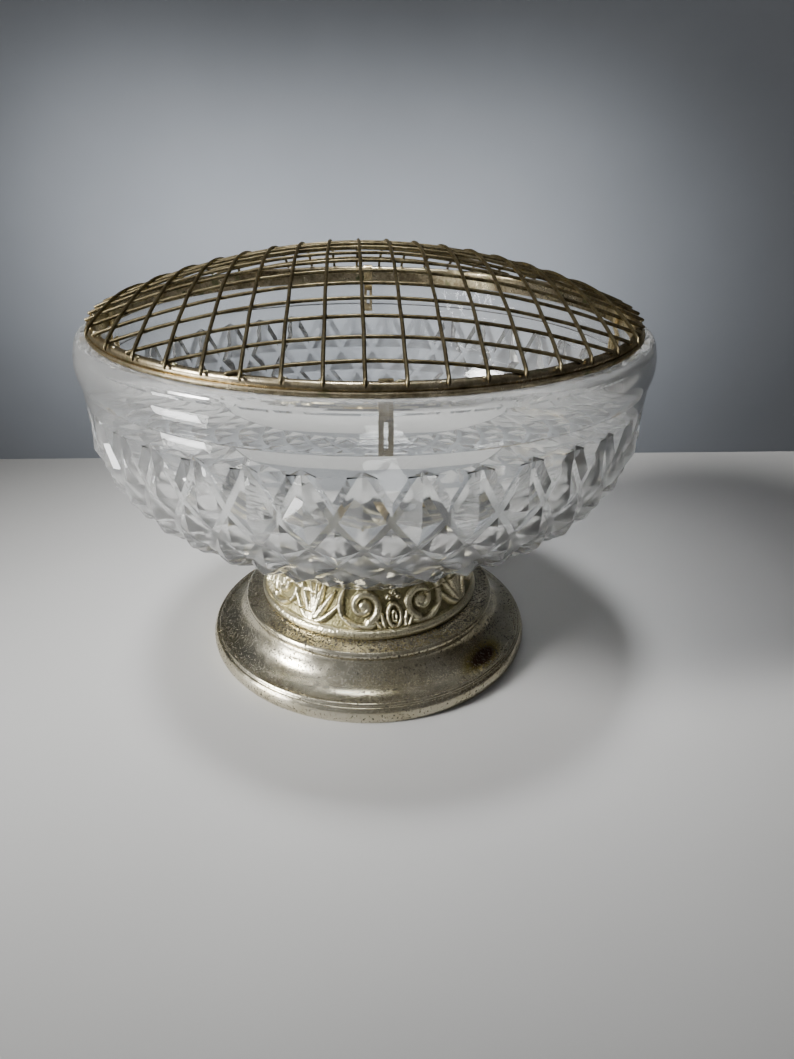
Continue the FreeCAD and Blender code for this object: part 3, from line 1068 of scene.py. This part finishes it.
@dataclass
class WireDome:
    """Two layers of wires, welded at their crossings and bent over the ring. Sizes in millimetres."""

    wire: float = 0.914
    gap: float = 0.03
    weld_sink: float = 0.40
    bead: float = 1.2
    flange_outset: float = 1.8
    slope_deg: float = 22.0
    fullness: float = 1.9
    wrap_ends_deg: tuple[float, float] = (45.0, 10.0)
    wobble: float = 0.05
    step: float = 2.0
    ring_node: str = "frog_ring"

    def __post_init__(self) -> None:
        """Finds the bead's centre line from the ring."""
        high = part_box(self.ring_node)[1]
        self.ring_r = high.x / MM - self.flange_outset
        self.ring_z = high.z / MM - self.bead
        self.slope = math.radians(self.slope_deg)

    def half_line(self, layer: Layer, place: float) -> list[tuple[float, float]]:
        """Half a wire in its own upright plane.

        Args:
            layer: Which layer it lies in.
            place: How far its plane misses the axis.

        Returns:
            Distance along and height, from the middle to the end.
        """
        reach = self.bead + self.gap + self.wire / 2 + layer.value * (self.wire + self.gap - self.weld_sink)
        edge_r = self.ring_r + reach * math.sin(self.slope)
        edge_z = self.ring_z + reach * math.cos(self.slope)
        rise = math.tan(self.slope) * edge_r / self.fullness
        half = math.sqrt(edge_r ** 2 - place ** 2)
        count = max(6, round(half / self.step))
        points = []
        for along in np.linspace(0.0, half, count + 1):
            share = math.hypot(along, place) / edge_r
            points.append((float(along), edge_z + rise * (1 - share ** self.fullness)))
        first, last = 90 - self.slope_deg, self.wrap_ends_deg[layer.value]
        for angle in np.radians(np.linspace(first, last, 7)[1:]):
            radius = self.ring_r + reach * math.cos(angle)
            points.append((math.sqrt(radius ** 2 - place ** 2), self.ring_z + reach * math.sin(angle)))
        return points

    def line(self, layer: Layer, place: float, seed: int) -> list[Vector]:
        """Centre line of one wire from end to end, with a hand-made waver.

        Args:
            layer: Which layer it lies in.
            place: Where it lies across the ring.
            seed: Picks its waver.

        Returns:
            Points in metres.
        """
        half = self.half_line(layer, place)
        whole = [(-along, height) for along, height in half[:0:-1]] + half
        rng = np.random.default_rng(seed)
        phases, lengths = rng.uniform(0, math.tau, 2), rng.uniform(17, 34, 2)
        points = []
        for along, height in whole:
            calm = min(1.0, (half[-1][0] - abs(along)) / 8)
            aside = self.wobble * calm * math.sin(along / lengths[0] * math.tau + phases[0])
            lift = self.wobble * 0.5 * calm * math.sin(along / lengths[1] * math.tau + phases[1])
            flat = (place + aside, along) if layer is Layer.LENGTHWISE else (along, place + aside)
            points.append(Vector((*flat, height + lift)) * MM)
        return points

    def wires(self, material: bpy.types.Material) -> list[Vector]:
        """Makes every wire.

        Args:
            material: Finish of the wires.

        Returns:
            Where the wires end on the ring.
        """
        ends = []
        for seed, name in enumerate(sorted(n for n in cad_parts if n.startswith("wire_"))):
            layer = Layer.LENGTHWISE if "lengthwise" in name else Layer.CROSSWISE
            low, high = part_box(name)
            axis = 0 if layer is Layer.LENGTHWISE else 1
            line = self.line(layer, (low[axis] + high[axis]) / 2 / MM, seed)
            shares = [1.0] * len(line)
            tip = (0.30, 0.72, 0.95) if layer is Layer.LENGTHWISE else (0.66, 0.92, 1.0)
            shares[:3], shares[-3:] = tip, tip[::-1]
            mesh = swept(name, line, shares, self.wire / 2 * MM)
            for face in mesh.polygons:
                face.use_smooth = True
            mesh.materials.clear()
            mesh.materials.append(material)
            piece = bpy.data.objects.new(name + "_bent", mesh)
            bpy.context.scene.collection.objects.link(piece)
            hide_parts(name)
            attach(piece, FROG_BODY)
            ends += [line[0], line[-1]]
            log.info("%s has %d points", name, len(line))
        return ends

    def solder(self, ends: Sequence[Vector], material: bpy.types.Material) -> bpy.types.Object:
        """Makes the small uneven lumps of solder where the wires meet the ring.

        Args:
            ends: Where the wires end.
            material: Finish of the solder.

        Returns:
            The lumps, as one piece.
        """
        bm = bmesh.new()
        rng = np.random.default_rng(7)
        for end in ends:
            size = float(rng.uniform(0.42, 0.78))
            around = math.atan2(end.y, end.x) + float(rng.normal(0, 0.006))
            tilt = math.radians(float(rng.uniform(48, 100)))
            spot = polar(self.ring_r + self.bead * math.cos(tilt), self.ring_z + self.bead * math.sin(tilt))
            turn = Matrix.Rotation(around, 4, "Z")
            length = size * float(rng.uniform(1.0, 1.9))
            stretch = Matrix.Diagonal((size * 0.7 * MM, length * MM, size * 0.55 * MM, 1))
            made = bmesh.ops.create_icosphere(bm, subdivisions=2, radius=1.0,
                                              matrix=turn @ Matrix.Translation(spot) @ stretch)
            for vert in made["verts"]:
                vert.co += Vector(rng.normal(0, 0.035, 3)) * MM
        piece = finished("frog_solder", bm, material, Shading.SMOOTH)
        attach(piece, FROG_BODY)
        return piece


@dataclass
class FrogRing:
    """Bead on a flange, with a skirt inside the mouth. Sizes in millimetres."""

    bead: float = 1.2
    sink: float = 0.5
    flange: float = 1.1
    flange_outset: float = 1.8
    skirt: float = 0.9
    skirt_outset: float = 0.3
    steps: int = 240
    node: str = "frog_ring"

    def outline(self) -> list[Vector]:
        """Closed outline of the ring, with rounded edges.

        Returns:
            Points of the closed outline.
        """
        low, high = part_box(self.node)
        edge, top, bottom = high[0] / MM, high[2] / MM, low[2] / MM
        centre_r, centre_z = edge - self.flange_outset, top - self.bead
        outer_skirt = centre_r - self.skirt_outset
        inner_skirt = outer_skirt - self.skirt
        flange_low = centre_z - self.bead + self.sink - self.flange
        flange_high = flange_low + self.flange
        meet = math.sqrt(self.bead ** 2 - (centre_z - flange_high) ** 2)
        start = math.atan2(flange_high - centre_z, meet)
        line = [polar(inner_skirt, bottom + 0.15), polar(inner_skirt + 0.2, bottom)]
        line += [polar(outer_skirt - 0.2, bottom), polar(outer_skirt, bottom + 0.2)]
        line += [polar(outer_skirt, flange_low), polar(edge - 0.25, flange_low)]
        line += [polar(edge, flange_low + 0.3), polar(edge, flange_high - 0.3)]
        line += [polar(edge - 0.25, flange_high - 0.02)]
        for k in range(15):
            angle = start + (math.pi - start) * k / 14
            rim = self.bead * math.cos(angle)
            line.append(polar(centre_r + rim, centre_z + self.bead * math.sin(angle)))
        line.append(polar(inner_skirt, centre_z - 0.3))
        return line

    def build(self, material: bpy.types.Material) -> bpy.types.Object:
        """Makes the ring and puts it in the frame.

        Args:
            material: Finish of the piece.

        Returns:
            The linked piece.
        """
        shape = turned(self.outline(), self.steps)
        ring = finished("frog_ring_rolled", shape, material, Shading.BY_ANGLE, 40.0)
        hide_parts(self.node)
        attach(ring, FROG_BODY)
        return ring


# ------------------------------------------------------------------ studio
@dataclass
class Studio:
    """Pale table, a wall some way behind it and soft window light from the left. Metres, degrees."""

    camera_spot: tuple[float, float, float] = (-0.00533, -0.2256, 0.1537)
    heading_deg: float = 3.69
    pitch_deg: float = 27.34
    roll_deg: float = 0.81
    lens: float = 25.9
    sensor: float = 36.0
    table_edge: float = 0.159
    wall_distance: float = 0.80
    table: Colour = (0.38, 0.378, 0.372)
    wall: Colour = (0.46, 0.485, 0.525)
    window_side: Vector = field(default_factory=lambda: Vector((-0.80, -0.27, 0.53)))

    def camera(self) -> None:
        """Makes the camera and hands it to the scene."""
        data = bpy.data.cameras.new("view")
        data.sensor_fit = "VERTICAL"
        data.sensor_height = self.sensor
        data.lens = self.lens
        data.clip_start = 0.01
        eye = bpy.data.objects.new("view", data)
        heading, pitch, roll = (math.radians(a) for a in (self.heading_deg, self.pitch_deg, self.roll_deg))
        level = math.cos(pitch)
        ahead = Vector((math.sin(heading) * level, math.cos(heading) * level, -math.sin(pitch)))
        right = Vector((math.cos(heading), -math.sin(heading), 0.0))
        up = right.cross(ahead)
        side = right * math.cos(roll) + up * math.sin(roll)
        top = up * math.cos(roll) - right * math.sin(roll)
        facing = Matrix((side, top, -ahead)).transposed().to_4x4()
        eye.matrix_world = Matrix.Translation(self.camera_spot) @ facing
        bpy.context.scene.collection.objects.link(eye)
        bpy.context.scene.camera = eye

    def matt(self, name: str, colour: Colour) -> bpy.types.Material:
        """Plain painted finish with a faint mottle.

        Args:
            name: Name of the material.
            colour: Its paler tone.

        Returns:
            The material.
        """
        surface = Surface(name)
        mottle = surface.noise(6.0, 3.0)
        darker = tuple(c * 0.94 for c in colour)
        surface.feed("Base Color", surface.blend(surface.span(mottle, 0.35, 0.65), colour, darker))
        surface.fixed(Roughness=0.6)
        return surface.material

    def stage(self) -> None:
        """Makes the table top, which stops short of the wall, and the wall."""
        bm = bmesh.new()
        bmesh.ops.create_cube(bm, size=1.0, matrix=Matrix.Translation((0, self.table_edge - 1.5, -0.02))
                              @ Matrix.Diagonal((6.0, 3.0, 0.04, 1.0)))
        edges = [edge for edge in bm.edges
                 if all(vert.co.y > self.table_edge - 0.01 and vert.co.z > -0.01 for vert in edge.verts)]
        bmesh.ops.bevel(bm, geom=edges, offset=0.0006, segments=2, profile=0.5, affect="EDGES", material=-1)
        finished("table", bm, self.matt("table_top", self.table), Shading.FLAT)
        bm = bmesh.new()
        upright = Matrix.Translation((0, self.wall_distance, 0)) @ Matrix.Rotation(math.pi / 2, 4, "X")
        bmesh.ops.create_grid(bm, x_segments=2, y_segments=2, size=3.0, matrix=upright)
        finished("wall", bm, self.matt("wall_paint", self.wall), Shading.FLAT)

    def lamp(self, name: str, spot: Vector, size: tuple[float, float], power: float, colour: Colour,
             aim: Vector, spread_deg: float = 180.0) -> None:
        """Adds a rectangular soft light.

        Args:
            name: Name of the light.
            spot: Where it hangs.
            size: Width and height.
            power: Watts.
            colour: Tint.
            aim: Point that it faces.
            spread_deg: Width of its beam.
        """
        data = bpy.data.lights.new(name, "AREA")
        data.shape = "RECTANGLE"
        data.size, data.size_y = size
        data.energy = power
        data.color = colour
        data.spread = math.radians(spread_deg)
        lamp = bpy.data.objects.new(name, data)
        lamp.location = spot
        lamp.rotation_euler = (aim - spot).to_track_quat("-Z", "Y").to_euler()
        lamp.visible_camera = False
        bpy.context.scene.collection.objects.link(lamp)

    def lights(self) -> None:
        """Makes the window, the soft ceiling light, the wall's own light and the room's glow."""
        bowl = Vector((0, 0.02, 0.06))
        self.lamp("window", self.window_side * 0.95, (0.28, 0.34), 1.02, (1.0, 0.99, 0.97), bowl, 25.0)
        self.lamp("ceiling", Vector((-0.08, 0.04, 1.0)), (0.22, 0.22), 0.24, (0.97, 0.985, 1.0), bowl, 18.0)
        self.lamp("wall_light", Vector((-0.10, 0.12, 0.36)), (0.7, 0.15), 0.95, (0.95, 0.975, 1.0),
                  Vector((-0.01, self.wall_distance, -0.03)), 46.0)
        self.lamp("card", Vector((-0.27, -0.13, 0.045)), (0.10, 0.05), 0.12, (1.0, 1.0, 1.0), bowl, 80.0)
        self.room()

    def room(self) -> None:
        """Lights the room brighter towards the window and dim and warm on the far side."""
        world = bpy.data.worlds.new("room")
        world.use_nodes = True
        nodes, links = world.node_tree.nodes, world.node_tree.links
        facing = nodes.new("ShaderNodeVectorMath")
        facing.operation = "DOT_PRODUCT"
        facing.inputs[1].default_value = self.window_side.normalized()
        ramp_node = nodes.new("ShaderNodeValToRGB")
        ramp = ramp_node.color_ramp
        scale = nodes.new("ShaderNodeMapRange")
        scale.inputs["From Min"].default_value = -1.0
        for k, (spot, colour) in enumerate([(0.15, (0.13, 0.11, 0.095)), (0.88, (0.80, 0.82, 0.84))]):
            ramp.elements[k].position = spot
            ramp.elements[k].color = (*colour, 1.0)
        links.new(nodes.new("ShaderNodeTexCoord").outputs["Generated"], facing.inputs[0])
        links.new(facing.outputs["Value"], scale.inputs["Value"])
        links.new(scale.outputs["Result"], ramp_node.inputs["Fac"])
        links.new(ramp_node.outputs["Color"], nodes["Background"].inputs["Color"])
        nodes["Background"].inputs["Strength"].default_value = 0.30
        bpy.context.scene.world = world

    def build(self) -> None:
        """Sets the whole studio up."""
        self.camera()
        self.stage()
        self.lights()


# ------------------------------------------------------------------ carried-over CAD nodes
def dress(materials: dict[str, bpy.types.Material]) -> None:
    """Gives the CAD nodes that stay their finish.

    Args:
        materials: Finish of each node, by node name.
    """
    for name, material in materials.items():
        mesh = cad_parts[name].data
        mesh.materials.clear()
        mesh.materials.append(material)
        log.info("%s dressed with %s", name, material.name)


def main() -> None:
    """Builds every sub-assembly in order."""
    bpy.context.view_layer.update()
    Studio().build()
    glass = PressedGlass().build()
    wire = TarnishedBrass("tarnished_wire", (0.20, 0.168, 0.10), (0.080, 0.065, 0.037),
                          (0.040, 0.032, 0.020), roughness=(0.32, 0.56), edge_tint=(0.55, 0.46, 0.28)).build()
    ring = TarnishedBrass("tarnished_ring", (0.50, 0.43, 0.30), (0.19, 0.155, 0.095), verdigris=0.05,
                          blotches_per_metre=75.0).build()
    solder = TarnishedBrass("solder", (0.66, 0.60, 0.47), (0.30, 0.27, 0.16), verdigris=0.08,
                            blotches_per_metre=300.0).build()
    strip = TarnishedBrass("leg_strip", (0.72, 0.62, 0.42), (0.46, 0.37, 0.21),
                           blotches_per_metre=240.0).build()
    brass = TurnedMetal("fixing_brass", (0.62, 0.50, 0.27), (0.44, 0.34, 0.17)).build()
    steel = TurnedMetal("zinc_steel", (0.55, 0.55, 0.53), (0.38, 0.38, 0.36), 0.4).build()
    rubber = SoftRubber().build()
    bowl = GlassBowl().build(glass)
    log.info("%s has %d faces", bowl.name, len(bowl.data.polygons))
    foot = FootBase().build(WornSilver().build())
    log.info("%s has %d faces", foot.name, len(foot.data.polygons))
    gallery = FootGallery().build(GalleryPlate().build())
    log.info("%s has %d faces", gallery.name, len(gallery.data.polygons))
    FrogRing().build(ring)
    dome = WireDome()
    dome.solder(dome.wires(wire), solder)
    legs = [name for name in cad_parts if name.startswith("frog_leg_") or name == "leg_rivets"]
    finishes = {name: strip for name in legs}
    finishes.update({"centre_bolt": brass, "cap_washer": brass, "clamp_nut": brass, "under_plate": steel,
                     "plain_washer": steel, "inner_seal": rubber, "seat_gasket": rubber})
    dress(finishes)
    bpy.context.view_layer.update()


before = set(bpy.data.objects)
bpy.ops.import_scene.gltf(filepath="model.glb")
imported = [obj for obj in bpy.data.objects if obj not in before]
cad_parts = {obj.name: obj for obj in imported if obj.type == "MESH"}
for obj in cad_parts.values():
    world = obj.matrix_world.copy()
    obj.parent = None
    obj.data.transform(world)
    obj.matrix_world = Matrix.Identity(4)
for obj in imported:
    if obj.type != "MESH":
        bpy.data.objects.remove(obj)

if __name__ == "__main__":
    logging.basicConfig(level=logging.INFO)
    main()
